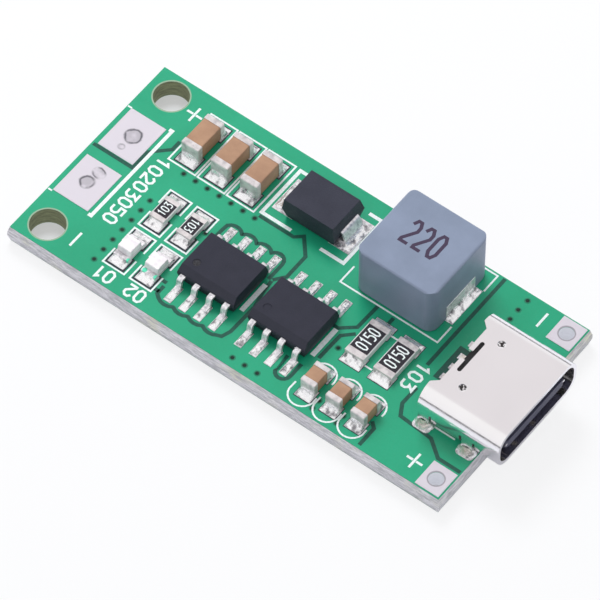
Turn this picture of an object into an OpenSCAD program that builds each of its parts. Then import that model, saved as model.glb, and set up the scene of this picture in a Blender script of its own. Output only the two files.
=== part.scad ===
// Charger module for a two-cell lithium battery: a green board with two chips, a power inductor,
// ceramic capacitors, resistors, two status lights and a reversible charging socket.
// Origin: under the middle of the module, on the board's lower face. X runs to the socket, Z up.

/* [Board] */
// Length of the circuit board
board_l = 36.6; // [36.6:0.1:44]
// Width of the circuit board
board_w = 17.2; // [17.2:0.1:24]
// Thickness of the laminate
board_t = 1.6; // [1.2:0.1:2.4]
// How far the broken web of the scored edges stands out
score_ridge = 0.15; // [0.05:0.05:0.3]
// Height of the broken web between the two scores
score_web = 0.4; // [0.3:0.05:0.6]

/* [Mounting holes] */
// Diameter of the two mounting holes
mount_hole_d = 2.6; // [2:0.1:2.8]
// Distance of the mounting holes from the battery end
mount_hole_inset = 1.94; // [1.75:0.01:2]
// Distance between the two mounting holes
mount_hole_pitch = 13.76; // [13:0.02:14]

/* [Wire pads] */
// Length of a battery pad, along the board
battery_pad_l = 3.05; // [2.4:0.05:3.3]
// Width of a battery pad
battery_pad_w = 3.8; // [3:0.02:4.2]
// Distance between the middles of the battery pads
battery_pad_pitch = 4.96; // [4.6:0.02:5.2]
// Distance of the battery pads from the battery end
battery_pad_inset = 0.4; // [0.1:0.05:0.5]
// Length of an input pad, along the board
input_pad_l = 1.95; // [1.8:0.05:2.3]
// Width of an input pad
input_pad_w = 2.2; // [2:0.05:2.5]
// Bare rim between an input pad and the board's edges
input_pad_rim = 0.1; // [0.05:0.05:0.3]
// Bore of the plated wire holes
wire_hole_d = 1.1; // [0.8:0.05:1.3]

/* [Lands and solder] */
// Thickness of the copper lands with their tin
land_t = 0.04; // [0.02:0.01:0.1]
// How far a land reaches past the end of the part on it
land_reach = 0.6; // [0.4:0.05:0.75]
// How far a chip's land reaches past the tip of its lead
chip_land_reach = 0.78; // [0.4:0.02:0.84]
// Height of the solder on the end of a small part, as a share of the part's height
solder_climb = 0.55; // [0.3:0.05:0.8]

/* [Chips] */
// Length of a chip's body, along the rows of leads
chip_l = 4.9; // [4.6:0.1:5.1]
// Width of a chip's body
chip_w = 3.9; // [3.5:0.1:4]
// Height of a chip's top above the board
chip_h = 1.5; // [1.3:0.05:1.8]
// Gap under a chip's body
chip_standoff = 0.15; // [0.1:0.01:0.25]
// Height of the mould's parting line, where the leads come out
chip_parting = 0.88; // [0.7:0.02:0.95]
// How far the mould's draft draws in the top and bottom of the body
chip_draft = 0.14; // [0.05:0.01:0.2]
// Width of the bevel along the edge of the first lead
chip_bevel = 0.4; // [0.2:0.05:0.6]
// Distance between neighbouring leads
lead_pitch = 1.27; // [1.2:0.01:1.3]
// Width of a lead
lead_w = 0.42; // [0.3:0.02:0.5]
// Thickness of a lead
lead_t = 0.2; // [0.15:0.01:0.24]
// Distance over the tips of the leads
lead_span = 6.0; // [5.9:0.05:6.2]
// Distance from the battery end to the charge control chip
charger_chip_x = 14.28; // [14.2:0.02:14.4]
// Distance from the battery end to the power switch chip
power_chip_x = 20.34; // [20.3:0.02:20.5]
// How far the chips lie off the centre line, towards the near side
chip_offset = 3.21; // [3.1:0.01:3.3]

/* [Diode] */
// Length of the diode's body
diode_l = 4.5; // [4:0.05:4.6]
// Width of the diode's body
diode_w = 3.45; // [3:0.05:3.6]
// Height of the diode's top above the board
diode_h = 2.05; // [1.8:0.05:2.3]
// Gap under the diode's body
diode_standoff = 0.1; // [0.06:0.01:0.2]
// How far the mould's draft draws in the top of the diode
diode_draft = 0.22; // [0.1:0.02:0.3]
// Width of the diode's tabs
diode_tab_w = 1.9; // [1.6:0.05:2.3]
// Thickness of the diode's tabs
diode_tab_t = 0.2; // [0.15:0.01:0.25]
// Distance over the bent tabs of the diode
diode_span = 5.4; // [5.25:0.05:5.5]
// Distance from the battery end to the diode
diode_x = 16.55; // [16.5:0.05:16.7]
// How far the diode lies off the centre line, towards the far side
diode_offset = 5.1; // [4.95:0.05:5.25]

/* [Inductor] */
// Length of the inductor, between its terminals
inductor_l = 6.6; // [6:0.05:6.8]
// Width of the inductor
inductor_w = 6.6; // [6:0.05:6.8]
// Height of the inductor's top above the board
inductor_h = 4.5; // [3:0.05:5.2]
// Radius of the inductor's upright corners
inductor_corner = 0.8; // [0.4:0.05:1.2]
// Radius of the inductor's top edge
inductor_edge = 0.22; // [0.1:0.02:0.4]
// Width of the inductor's terminals
inductor_tab_w = 3.3; // [2.6:0.1:3.8]
// Thickness of the inductor's terminals
inductor_tab_t = 0.16; // [0.1:0.01:0.25]
// How high the terminals climb the ends of the inductor
inductor_tab_h = 1.4; // [1:0.05:2]
// Distance from the battery end to the inductor
inductor_x = 25.05; // [25:0.05:25.2]
// How far the inductor lies off the centre line, towards the far side
inductor_offset = 5.0; // [4.9:0.05:5.2]

/* [Large capacitors] */
// Length of a large capacitor over its end caps
large_cap_l = 3.05; // [2.8:0.05:3.3]
// Width of a large capacitor
large_cap_w = 1.5; // [1.3:0.05:1.8]
// Height of a large capacitor
large_cap_h = 1.5; // [1.1:0.05:1.8]
// Length of an end cap on a large capacitor
large_cap_end = 0.5; // [0.35:0.05:0.7]
// Distance between the large capacitors
large_cap_pitch = 2.54; // [2.4:0.02:2.6]
// Distance from the battery end to the first large capacitor
large_cap_x = 6.28; // [6.2:0.02:6.4]
// How far the large capacitors lie off the centre line, towards the far side
large_cap_offset = 4.9; // [4.6:0.05:5.1]

/* [Small capacitors] */
// Length of a small capacitor over its end caps
small_cap_l = 1.9; // [1.7:0.05:2.1]
// Width of a small capacitor
small_cap_w = 1.2; // [1:0.05:1.35]
// Height of a small capacitor
small_cap_h = 1.2; // [0.8:0.05:1.35]
// Length of an end cap on a small capacitor
small_cap_end = 0.42; // [0.3:0.02:0.55]
// Distance between the small capacitors
small_cap_pitch = 2.1; // [2:0.02:2.2]
// Distance from the battery end to the first small capacitor
small_cap_x = 24.5; // [24.45:0.05:24.7]
// How far the small capacitors lie off the centre line, towards the near side
small_cap_offset = 6.2; // [6.1:0.05:6.3]
// Thickness of the metal that caps the ends of capacitors and resistors
end_cap_t = 0.04; // [0.02:0.01:0.06]

/* [Resistors] */
// Length of a small resistor
small_res_l = 2.0; // [1.9:0.05:2.1]
// Width of a small resistor
small_res_w = 1.22; // [1.1:0.02:1.3]
// Height of a small resistor
small_res_h = 0.5; // [0.4:0.02:0.6]
// Length of the metal end of a small resistor
small_res_end = 0.38; // [0.25:0.02:0.5]
// Distance between the small resistors
small_res_pitch = 2.32; // [2.2:0.02:2.4]
// Distance from the battery end to the first small resistor
small_res_x = 7.78; // [7.7:0.02:7.9]
// How far the small resistors lie off the centre line, towards the near side
small_res_offset = 1.27; // [1.2:0.01:1.35]
// Length of a sense resistor
sense_res_l = 3.15; // [3:0.05:3.3]
// Width of a sense resistor
sense_res_w = 1.58; // [1.4:0.02:1.7]
// Height of a sense resistor
sense_res_h = 0.6; // [0.5:0.02:0.7]
// Length of the metal end of a sense resistor
sense_res_end = 0.48; // [0.3:0.02:0.6]
// Distance between the sense resistors
sense_res_pitch = 2.4; // [2.3:0.02:2.5]
// Distance from the battery end to the first sense resistor
sense_res_x = 25.38; // [25.3:0.02:25.5]
// How far the sense resistors lie off the centre line, towards the near side
sense_res_offset = 1.5; // [1.4:0.02:1.6]
// Thickness of the resistive film with its coat
res_coat_t = 0.05; // [0.03:0.01:0.08]

/* [Status lights] */
// Length of a status light
led_l = 2.0; // [1.9:0.05:2.1]
// Width of a status light
led_w = 1.25; // [1.1:0.05:1.35]
// Height of a status light
led_h = 0.82; // [0.7:0.02:1.1]
// Thickness of the status light's base
led_base_t = 0.3; // [0.2:0.02:0.4]
// Length of the clear lens
led_lens_l = 1.3; // [1.1:0.05:1.35]
// Length of the metal end of a status light
led_end = 0.34; // [0.2:0.02:0.4]
// Distance between the status lights
led_pitch = 2.35; // [2.2:0.05:2.4]
// Distance from the battery end to the first status light
led_x = 7.75; // [7.7:0.05:7.9]
// How far the status lights lie off the centre line, towards the near side
led_offset = 5.18; // [5.1:0.02:5.3]

/* [Charging socket] */
// Width of the drawn steel shell
socket_w = 8.94; // [8.9:0.02:9.1]
// Height of the shell
socket_h = 3.2; // [3.1:0.02:3.4]
// Length of the shell with its two rear lobes
socket_l = 6.7; // [6.65:0.05:7]
// Wall of the shell
socket_wall = 0.3; // [0.25:0.01:0.35]
// Outer corner radius of the shell
socket_corner = 1.3; // [1.1:0.05:1.5]
// How far the shell's mouth stands past the board's end
socket_overhang = 1.8; // [1.4:0.05:1.85]
// How far the rear lobes stand behind the middle of the shell
lobe_l = 0.5; // [0.3:0.05:0.7]
// Half width of the cut between the rear lobes
lobe_gap = 2.85; // [2.6:0.05:3.1]
// Distance of the spring slot from the lobes' rear
slot_x = 1.02; // [0.95:0.02:1.2]
// Length of the spring slot, across the shell
slot_l = 2.9; // [2.2:0.1:3.2]
// How far the spring slot lies off the middle
slot_offset = 0.15; // [0:0.05:0.3]
// Width of the spring slot
slot_w = 0.32; // [0.2:0.02:0.36]
// Width of the opening from the spring slot to the rear
slot_mouth = 0.9; // [0.6:0.05:1.2]
// Distance of the two weld dimples from the lobes' rear
dimple_x = 2.07; // [1.8:0.05:2.4]
// Distance between the two weld dimples
dimple_pitch = 4.4; // [4:0.1:4.8]
// Diameter of a weld dimple
dimple_d = 0.5; // [0.3:0.05:0.6]
// Depth of a weld dimple
dimple_depth = 0.09; // [0.05:0.01:0.15]
// Width of the socket's legs
leg_w = 0.9; // [0.7:0.05:1]
// Length of the legs below the board's upper face
leg_drop = 1.1; // [0.8:0.05:1.1]
// Height on the shell at which the legs are lanced
leg_root = 1.5; // [1.35:0.05:1.7]
// Cut beside each leg
leg_notch = 0.2; // [0.15:0.01:0.3]
// Distance of the rear legs from the lobes' rear
rear_leg_x = 0.52; // [0.48:0.01:0.55]
// Distance between the rear and the front legs
leg_pitch_x = 3.62; // [3.5:0.02:3.64]
// Clearance of the legs in their plated slots
leg_fit = 0.1; // [0.05:0.01:0.15]
// Width of the tongue
tongue_w = 6.69; // [6.5:0.01:6.8]
// Thickness of the tongue
tongue_t = 0.7; // [0.6:0.02:0.8]
// Distance of the tongue's tip behind the mouth
tongue_inset = 0.15; // [0.1:0.05:0.5]
// Length of the moulded block behind the tongue
block_l = 1.95; // [1.6:0.05:2.2]
// Distance of the moulded block from the lobes' rear
block_x = 0.65; // [0.6:0.05:0.8]
// Width of a contact
contact_w = 0.32; // [0.25:0.01:0.36]
// Thickness of a contact
contact_t = 0.12; // [0.1:0.01:0.15]
// Length of the contact tails behind the lobes
tail_l = 0.75; // [0.6:0.05:0.95]
// Thickness of the steel plate inside the tongue
mid_plate_t = 0.15; // [0.1:0.01:0.2]

/* [Hidden] */

total_l = score_ridge + board_l + socket_overhang;
top = board_t;
seat = board_t + land_t;
through = 0.5;
layout_l = 36.6;
layout_w = 17.2;
arc_steps = 6;
shell_steps = 12;

// Rows of the parts that repeat
chip_rows = [-1, 1];
chip_leads_per_row = 4;
large_cap_rounding = 0.12;
small_cap_rounding = 0.1;
small_mitre = 0.03;

// Socket frame: X from the rear of the lobes to the mouth, Z from the board's upper face
socket_x = board_l + socket_overhang - socket_l;
socket_mid_z = socket_h / 2;
block_end = block_x + block_l;
tongue_tip = socket_l - tongue_inset;
collar_l = 0.8;
collar_rim = 0.3;
collar_w = tongue_w + 2 * collar_rim;
collar_t = tongue_t + 2 * collar_rim;
tongue_corner = 0.35;
foot_t = 0.6;
base_rim = 0.35;
base_gap = lobe_gap + base_rim;
contact_offsets = [2.75, 1.52, 0.5, -0.5, -1.52, -2.75];
contact_rows = [1, 1, -1, 1, -1, -1];
contact_drop_x = block_x - contact_t / 2;
tail_z = land_t + contact_t / 2;
bend_r = 0.16;
leg_y = socket_w / 2 - socket_wall / 2;
leg_xs = [rear_leg_x, rear_leg_x + leg_pitch_x];
leg_land_rim = 0.25;
leg_land_side = 0.475;
leg_land_l = leg_w + 2 * leg_land_rim;
leg_land_w = socket_wall + 2 * leg_land_side;
leg_land_corner = 0.3;
leg_slot_corner = leg_fit + 0.05;

function unit(v) = v / norm(v);
function turned(v) = [-v[1], v[0]];
function arc(c, r, from, to, steps) =
    [for (i = [0 : steps]) let (a = from + (to - from) * i / steps) c + r * [cos(a), sin(a)]];

// Outline of a rectangle with round corners, about its middle
function rounded(l, w, r, steps) = concat(
    arc([l / 2 - r, w / 2 - r], r, 0, 90, steps),
    arc([-l / 2 + r, w / 2 - r], r, 90, 180, steps),
    arc([-l / 2 + r, -w / 2 + r], r, 180, 270, steps),
    arc([l / 2 - r, -w / 2 + r], r, 270, 360, steps)
);

// Outline of a strip of metal of thickness t that follows a path
function heading(path, i) = unit(path[i + 1] - path[i]);
function mitre(path, i) =
    let (last = len(path) - 1,
         a = turned(heading(path, max(i - 1, 0))),
         b = turned(heading(path, min(i, last - 1))))
    (a + b) / (1 + a * b);
function strip(path, t) = concat(
    [for (i = [0 : len(path) - 1]) path[i] + mitre(path, i) * t / 2],
    [for (i = [len(path) - 1 : -1 : 0]) path[i] - mitre(path, i) * t / 2]
);

// Gull-wing path: shoulder height, foot height, start, heel and tip, from the part's middle outwards
drop_angle = 78;
function gull_wing(start, heel, tip, high, low, r) =
    let (drop = high - low - 2 * r * (1 - cos(drop_angle)),
         shoulder = heel - 2 * r * sin(drop_angle) - drop / tan(drop_angle))
    concat(
        [[start, high]],
        arc([shoulder, high - r], r, 90, 90 - drop_angle, arc_steps),
        arc([heel, low + r], r, 270 - drop_angle, 270, arc_steps),
        [[tip, low]]
    );

// A place on the board, from the battery end and the centre line
module on_board(x, y) translate([score_ridge + x - total_l / 2, y, 0]) children();
module in_socket() on_board(socket_x, 0) translate([0, 0, top]) children();

// A place in the layout, which spreads in step with a longer or a wider board
module in_layout(x, y) on_board(x * board_l / layout_l, y * board_w / layout_w) children();

// A profile drawn in X and Z, as wide as w in Y
module across(w) rotate([90, 0, 0]) linear_extrude(w, center = true) children();

// A profile drawn in Y and Z, from x0 on and l long in X
module along(x0, l) translate([x0, 0, 0]) rotate([90, 0, 90]) linear_extrude(l) children();

module block(l, w, h) translate([-l / 2, -w / 2, 0]) cube([l, w, h]);

// A block with all its edges rounded
module rounded_block(l, w, h, r) {
    intersection() {
        linear_extrude(h) polygon(rounded(l, w, r, arc_steps));
        translate([0, 0, h / 2]) across(w + 2 * through) polygon(rounded(l, h, r, arc_steps));
        translate([0, 0, h / 2]) along(-l / 2 - through, l + 2 * through)
            polygon(rounded(w, h, r, arc_steps));
    }
}

// Half outline of a moulded body: bottom, parting line and top, mirrored about the middle
function moulded_outline(w, low, parting, high, draft, bevel) = [
    [-w / 2 + draft, low], [w / 2 - draft, low], [w / 2, parting], [w / 2 - draft, high],
    [-w / 2 + draft + bevel, high], [-w / 2 + draft / 2, high - bevel], [-w / 2, parting]
];

module moulded_body(l, w, low, parting, high, draft, bevel) {
    intersection() {
        across(w + 2 * through) polygon(moulded_outline(l, low, parting, high, draft, 0.01));
        along(-l / 2 - through, l + 2 * through)
            polygon(moulded_outline(w, low, parting, high, draft, bevel));
    }
}

// Solder fillet: a hollow-faced wedge against an end face at x = 0, reaching outwards
module fillet(w, reach, climb) {
    face = arc([1, 1], 1, 270, 180, arc_steps);
    across(w) polygon(concat([[0, 0]], [for (p = face) [p[0] * reach, p[1] * climb]]));
}

// The laminate

module mount_holes() {
    for (s = [-1, 1])
        on_board(mount_hole_inset, s * mount_hole_pitch / 2)
            translate([0, 0, -through]) cylinder(d = mount_hole_d, h = board_t + 2 * through, $fn = 64);
}

module at_wire_holes() {
    for (s = [-1, 1])
        on_board(
            board_l - input_pad_rim - input_pad_l / 2,
            s * (board_w / 2 - input_pad_rim - input_pad_w / 2)
        ) children();
}

wire_ring_rim = 0.3;
wire_ring_d = wire_hole_d + 2 * wire_ring_rim;

module at_legs() {
    for (s = [-1, 1])
        for (x = leg_xs)
            in_socket() translate([x, s * leg_y, 0]) children();
}

module leg_slot() {
    translate([0, 0, -board_t - through])
        linear_extrude(board_t + 2 * through)
            polygon(rounded(leg_w + 2 * leg_fit, socket_wall + 2 * leg_fit, leg_slot_corner, arc_steps));
}

module leg_land_under() {
    translate([0, 0, -board_t])
        linear_extrude(land_t) polygon(rounded(leg_land_l, leg_land_w, leg_land_corner, arc_steps));
}

// Section through the laminate: the scores slant to the broken web at half height
function scored(w) = [
    [-w / 2, 0], [w / 2, 0],
    [w / 2 + score_ridge, (board_t - score_web) / 2], [w / 2 + score_ridge, (board_t + score_web) / 2],
    [w / 2, board_t], [-w / 2, board_t],
    [-w / 2 - score_ridge, (board_t + score_web) / 2], [-w / 2 - score_ridge, (board_t - score_web) / 2]
];

module scored_block() {
    intersection() {
        across(board_w + 2 * through) polygon(scored(board_l));
        along(-board_l / 2 - through, board_l + 2 * through) polygon(scored(board_w));
    }
}

module circuit_board() {
    color("seagreen") difference() {
        on_board(board_l / 2, 0) scored_block();
        mount_holes();
        at_wire_holes() {
            translate([0, 0, -through]) cylinder(d = wire_hole_d, h = board_t + 2 * through, $fn = 48);
            translate([0, 0, -through]) cylinder(d = wire_ring_d, h = land_t + through, $fn = 48);
        }
        at_legs() {
            leg_slot();
            leg_land_under();
        }
    }
}

// Tinned copper

module battery_pads() {
    color("gainsboro")
        for (s = [-1, 1])
            on_board(battery_pad_inset + battery_pad_l / 2, s * battery_pad_pitch / 2)
                translate([0, 0, top]) block(battery_pad_l, battery_pad_w, land_t);
}

module input_pads() {
    color("gainsboro") at_wire_holes() difference() {
        union() {
            translate([0, 0, top]) block(input_pad_l, input_pad_w, land_t);
            cylinder(d = wire_ring_d, h = land_t, $fn = 48);
        }
        translate([0, 0, -through]) cylinder(d = wire_hole_d, h = board_t + 2 * through, $fn = 48);
    }
}

// A pair of lands under a part of length l, that lies along X
module land_pair(l, w, inner) {
    outer = l / 2 + land_reach;
    for (s = [-1, 1])
        translate([s * (outer + inner) / 2, 0, top]) block(outer - inner, w, land_t);
}

lead_land_rim = 0.09;
lead_land_w = lead_w + 2 * lead_land_rim;
lead_land_inner = lead_span / 2 - 0.7;
lead_land_outer = lead_span / 2 + chip_land_reach;
tail_land_w = contact_w + 2 * lead_land_rim;
tail_land_rim = 0.15;
tail_land_l = tail_l + tail_land_rim;

module chip_lands() {
    for (s = chip_rows)
        for (i = [0 : chip_leads_per_row - 1])
            translate([
                (i - (chip_leads_per_row - 1) / 2) * lead_pitch,
                s * (lead_land_inner + lead_land_outer) / 2,
                top
            ]) block(lead_land_w, lead_land_outer - lead_land_inner, land_t);
}

module component_lands() {
    color("gainsboro") {
        in_layout(charger_chip_x, -chip_offset) chip_lands();
        in_layout(power_chip_x, -chip_offset) chip_lands();
        in_layout(diode_x, diode_offset) land_pair(diode_span, diode_tab_w + 1.1, diode_l / 2 - 0.7);
        in_layout(inductor_x, inductor_offset)
            land_pair(inductor_l, inductor_tab_w + 0.2, inductor_l / 2 - 1.4);
        for (i = [0 : 2])
            in_layout(large_cap_x + i * large_cap_pitch, large_cap_offset)
                rotate(90) land_pair(large_cap_l, large_cap_w + 0.1, large_cap_l / 2 - large_cap_end - 0.1);
        for (i = [0 : 2])
            in_layout(small_cap_x + i * small_cap_pitch, -small_cap_offset)
                rotate(90) land_pair(small_cap_l, small_cap_w + 0.1, small_cap_l / 2 - small_cap_end - 0.1);
        for (i = [0 : 1])
            in_layout(small_res_x + i * small_res_pitch, -small_res_offset)
                rotate(90) land_pair(small_res_l, small_res_w + 0.1, small_res_l / 2 - small_res_end - 0.1);
        for (i = [0 : 1])
            in_layout(sense_res_x + i * sense_res_pitch, -sense_res_offset)
                rotate(90) land_pair(sense_res_l, sense_res_w + 0.1, sense_res_l / 2 - sense_res_end - 0.1);
        for (i = [0 : 1])
            in_layout(led_x + i * led_pitch, -led_offset)
                rotate(90) land_pair(led_l, led_w + 0.1, led_l / 2 - led_end - 0.1);
        in_socket()
            for (y = contact_offsets)
                translate([-tail_land_l / 2, y, 0]) block(tail_land_l, tail_land_w, land_t);
        at_legs() difference() {
            union() {
                linear_extrude(land_t) polygon(rounded(leg_land_l, leg_land_w, leg_land_corner, arc_steps));
                leg_land_under();
            }
            leg_slot();
        }
    }
}

// The two chips

lead_r = 0.18;
lead_grip = 0.35;
lead_heel = lead_span / 2 - 0.42;

module chip_leads() {
    for (s = chip_rows)
        for (i = [0 : chip_leads_per_row - 1])
            translate([(i - (chip_leads_per_row - 1) / 2) * lead_pitch, 0, top])
                rotate(s * 90)
                    across(lead_w) polygon(strip(gull_wing(
                        chip_w / 2 - lead_grip, lead_heel, lead_span / 2,
                        chip_parting, land_t + lead_t / 2, lead_r
                    ), lead_t));
}

dimple_mark_d = 0.6;
dimple_mark_depth = 0.06;

module chip_body() {
    difference() {
        translate([0, 0, top])
            moulded_body(chip_l, chip_w, chip_standoff, chip_parting, chip_h, chip_draft, chip_bevel);
        chip_leads();
        translate([-chip_l / 2 + 0.85, -chip_w / 2 + chip_bevel + 0.75, top + chip_h - dimple_mark_depth])
            cylinder(d = dimple_mark_d, h = 1, $fn = 32);
    }
}

module charger_chip_body() color("darkslategray") in_layout(charger_chip_x, -chip_offset) chip_body();
module charger_chip_leads() color("silver") in_layout(charger_chip_x, -chip_offset) chip_leads();
module power_chip_body() color("darkslategray") in_layout(power_chip_x, -chip_offset) chip_body();
module power_chip_leads() color("silver") in_layout(power_chip_x, -chip_offset) chip_leads();

// The diode, with tabs that leave at half height and fold under its ends

diode_tab_grip = 0.5;
diode_foot_l = 1.0;
diode_tab_z = (diode_standoff + diode_h) / 2;
diode_bend_r = 0.2;
diode_knee = 0.15;

module diode_tab_pair() {
    knee = [diode_l / 2 + diode_knee - diode_bend_r, diode_tab_z - diode_bend_r];
    heel = [(diode_span - diode_tab_t) / 2 - diode_bend_r, land_t + diode_tab_t / 2 + diode_bend_r];
    slant = atan2(heel[0] - knee[0], knee[1] - heel[1]);
    for (s = [0, 180])
        rotate(s) translate([0, 0, top]) across(diode_tab_w) polygon(strip(concat(
            [[diode_l / 2 - diode_tab_grip, diode_tab_z]],
            arc(knee, diode_bend_r, 90, slant, arc_steps),
            arc(heel, diode_bend_r, slant, -90, arc_steps),
            [[diode_span / 2 - diode_foot_l, heel[1] - diode_bend_r]]
        ), diode_tab_t));
}

// Shallow pockets in the body's ends and bottom where the folded tabs lie
module diode_foot_pocket() {
    for (s = [0, 180])
        rotate(s) translate([diode_span / 2 - diode_foot_l - 0.1, -diode_tab_w / 2 - 0.1, top])
            cube([diode_foot_l + 0.2, diode_tab_w + 0.2, land_t + diode_tab_t]);
}

module diode_body() {
    color("dimgray") in_layout(diode_x, diode_offset) difference() {
        translate([0, 0, top])
            moulded_body(diode_l, diode_w, diode_standoff, diode_tab_z, diode_h, diode_draft, 0.01);
        diode_tab_pair();
        diode_foot_pocket();
    }
}

module diode_tabs() color("silver") in_layout(diode_x, diode_offset) diode_tab_pair();

// The moulded power inductor

inductor_foot_l = 1.3;
inductor_gap = 0.03;
inductor_recess = inductor_tab_t - inductor_gap;

module inductor_tab_pair() {
    for (s = [0, 180])
        rotate(s) translate([inductor_l / 2 - inductor_recess, 0, seat]) {
            block_w = inductor_tab_w;
            translate([0, -block_w / 2, 0]) cube([inductor_tab_t, block_w, inductor_tab_h]);
            translate([inductor_tab_t - inductor_foot_l, -block_w / 2, 0])
                cube([inductor_foot_l, block_w, inductor_tab_t]);
        }
}

module inductor_core() {
    color("slategray") in_layout(inductor_x, inductor_offset) difference() {
        translate([0, 0, seat + inductor_gap]) intersection() {
            h = inductor_h - land_t - inductor_gap;
            linear_extrude(h) polygon(rounded(inductor_l, inductor_w, inductor_corner, arc_steps));
            translate([0, 0, h / 2 - through])
                across(inductor_w + 2 * through)
                    polygon(rounded(inductor_l, h + 2 * through, inductor_edge, arc_steps));
            translate([0, 0, h / 2 - through])
                along(-inductor_l, 2 * inductor_l)
                    polygon(rounded(inductor_w, h + 2 * through, inductor_edge, arc_steps));
        }
        inductor_tab_pair();
    }
}

module inductor_terminals() color("silver") in_layout(inductor_x, inductor_offset) inductor_tab_pair();

// Ceramic capacitors, each lying along Y

module ceramic(l, w, h, rounding) {
    translate([0, 0, end_cap_t])
        rounded_block(l - 2 * end_cap_t, w - 2 * end_cap_t, h - 2 * end_cap_t, rounding - end_cap_t / 2);
}

module end_caps(l, w, h, end_l, rounding) {
    difference() {
        rounded_block(l, w, h, rounding);
        ceramic(l, w, h, rounding);
        block(l - 2 * end_l, w + 2 * through, h + 2 * through);
    }
}

module at_large_cap(i) {
    in_layout(large_cap_x + (i - 1) * large_cap_pitch, large_cap_offset)
        translate([0, 0, seat]) rotate(90) children();
}

module at_small_cap(i) {
    in_layout(small_cap_x + (i - 1) * small_cap_pitch, -small_cap_offset)
        translate([0, 0, seat]) rotate(90) children();
}

module large_capacitor_body(i) {
    color("tan") at_large_cap(i) ceramic(large_cap_l, large_cap_w, large_cap_h, large_cap_rounding);
}

module large_capacitor_ends(i) {
    color("silver") at_large_cap(i)
        end_caps(large_cap_l, large_cap_w, large_cap_h, large_cap_end, large_cap_rounding);
}

module small_capacitor_body(i) {
    color("tan") at_small_cap(i) ceramic(small_cap_l, small_cap_w, small_cap_h, small_cap_rounding);
}

module small_capacitor_ends(i) {
    color("silver") at_small_cap(i)
        end_caps(small_cap_l, small_cap_w, small_cap_h, small_cap_end, small_cap_rounding);
}

// Thick-film resistors: a ceramic slab, metal ends that wrap round it, a dark coat on top

module slab(l, w, h) {
    translate([0, 0, end_cap_t]) block(l - 2 * end_cap_t, w, h - 2 * end_cap_t);
}

module wrap_ends(l, w, h, end_l) {
    for (s = [0, 180])
        rotate(s) across(w) polygon([
            [l / 2 - end_l, 0], [l / 2 - small_mitre, 0], [l / 2, small_mitre],
            [l / 2, h - small_mitre], [l / 2 - small_mitre, h], [l / 2 - end_l, h],
            [l / 2 - end_l, h - end_cap_t], [l / 2 - end_cap_t, h - end_cap_t],
            [l / 2 - end_cap_t, end_cap_t], [l / 2 - end_l, end_cap_t]
        ]);
}

module film_coat(l, w, h, end_l) {
    translate([0, 0, h - end_cap_t]) block(l - 2 * end_l, w - 0.16, res_coat_t);
}

module at_small_res(i) {
    in_layout(small_res_x + (i - 1) * small_res_pitch, -small_res_offset)
        translate([0, 0, seat]) rotate(90) children();
}

module at_sense_res(i) {
    in_layout(sense_res_x + (i - 1) * sense_res_pitch, -sense_res_offset)
        translate([0, 0, seat]) rotate(90) children();
}

module small_resistor_body(i) color("white") at_small_res(i) slab(small_res_l, small_res_w, small_res_h);
module small_resistor_coat(i) {
    color("black") at_small_res(i) film_coat(small_res_l, small_res_w, small_res_h, small_res_end);
}
module small_resistor_ends(i) {
    color("silver") at_small_res(i) wrap_ends(small_res_l, small_res_w, small_res_h, small_res_end);
}
module sense_resistor_body(i) color("white") at_sense_res(i) slab(sense_res_l, sense_res_w, sense_res_h);
module sense_resistor_coat(i) {
    color("black") at_sense_res(i) film_coat(sense_res_l, sense_res_w, sense_res_h, sense_res_end);
}
module sense_resistor_ends(i) {
    color("silver") at_sense_res(i) wrap_ends(sense_res_l, sense_res_w, sense_res_h, sense_res_end);
}

// Status lights: a white base with wrapped ends and a clear moulded lens

lens_draft = 0.08;

module at_led(i) {
    in_layout(led_x + (i - 1) * led_pitch, -led_offset) translate([0, 0, seat]) rotate(90) children();
}

module status_light_base(i) color("white") at_led(i) slab(led_l, led_w, led_base_t);
module status_light_ends(i) color("silver") at_led(i) wrap_ends(led_l, led_w, led_base_t, led_end);
module status_light_lens(i) {
    low = led_base_t - end_cap_t;
    color("honeydew") at_led(i) intersection() {
        across(led_w + 2 * through) polygon([
            [-led_lens_l / 2, low], [led_lens_l / 2, low],
            [led_lens_l / 2 - lens_draft, led_h], [-led_lens_l / 2 + lens_draft, led_h]
        ]);
        along(-led_l, 2 * led_l) polygon([
            [-led_w / 2 + 0.04, low], [led_w / 2 - 0.04, low],
            [led_w / 2 - 0.06, led_h], [-led_w / 2 + 0.06, led_h]
        ]);
    }
}

// The charging socket

module shell_section(inset) {
    translate([0, socket_mid_z])
        polygon(rounded(socket_w - 2 * inset, socket_h - 2 * inset, socket_corner - inset, shell_steps));
}

// Cut in the rear of the shell, between the lobes, with a slanted shoulder on each side
module rear_cut() {
    slope = 0.45;
    translate([0, 0, -1]) linear_extrude(socket_h + 2) polygon([
        [-1, -lobe_gap - slope / 2], [0, -lobe_gap - slope / 2], [lobe_l, -lobe_gap + slope / 2],
        [lobe_l, lobe_gap - slope / 2], [0, lobe_gap + slope / 2], [-1, lobe_gap + slope / 2]
    ]);
}

module spring_slot() {
    translate([0, 0, socket_mid_z]) linear_extrude(socket_h) {
        translate([slot_x, slot_offset]) polygon(rounded(slot_w, slot_l, slot_w / 2 - 0.001, arc_steps));
        translate([0, slot_offset - slot_mouth / 2]) square([slot_x, slot_mouth]);
    }
}

module leg_window() {
    translate([-leg_w / 2 - leg_notch, -socket_corner, -1])
        cube([leg_w + 2 * leg_notch, 2 * socket_corner, leg_root + 1]);
}

module leg(drop) {
    taper = 0.12;
    rotate([90, 0, 0]) linear_extrude(socket_wall, center = true) polygon([
        [-leg_w / 2, leg_root + 0.1], [-leg_w / 2, -drop + 0.3], [-leg_w / 2 + taper, -drop],
        [leg_w / 2 - taper, -drop], [leg_w / 2, -drop + 0.3], [leg_w / 2, leg_root + 0.1]
    ]);
}

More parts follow.
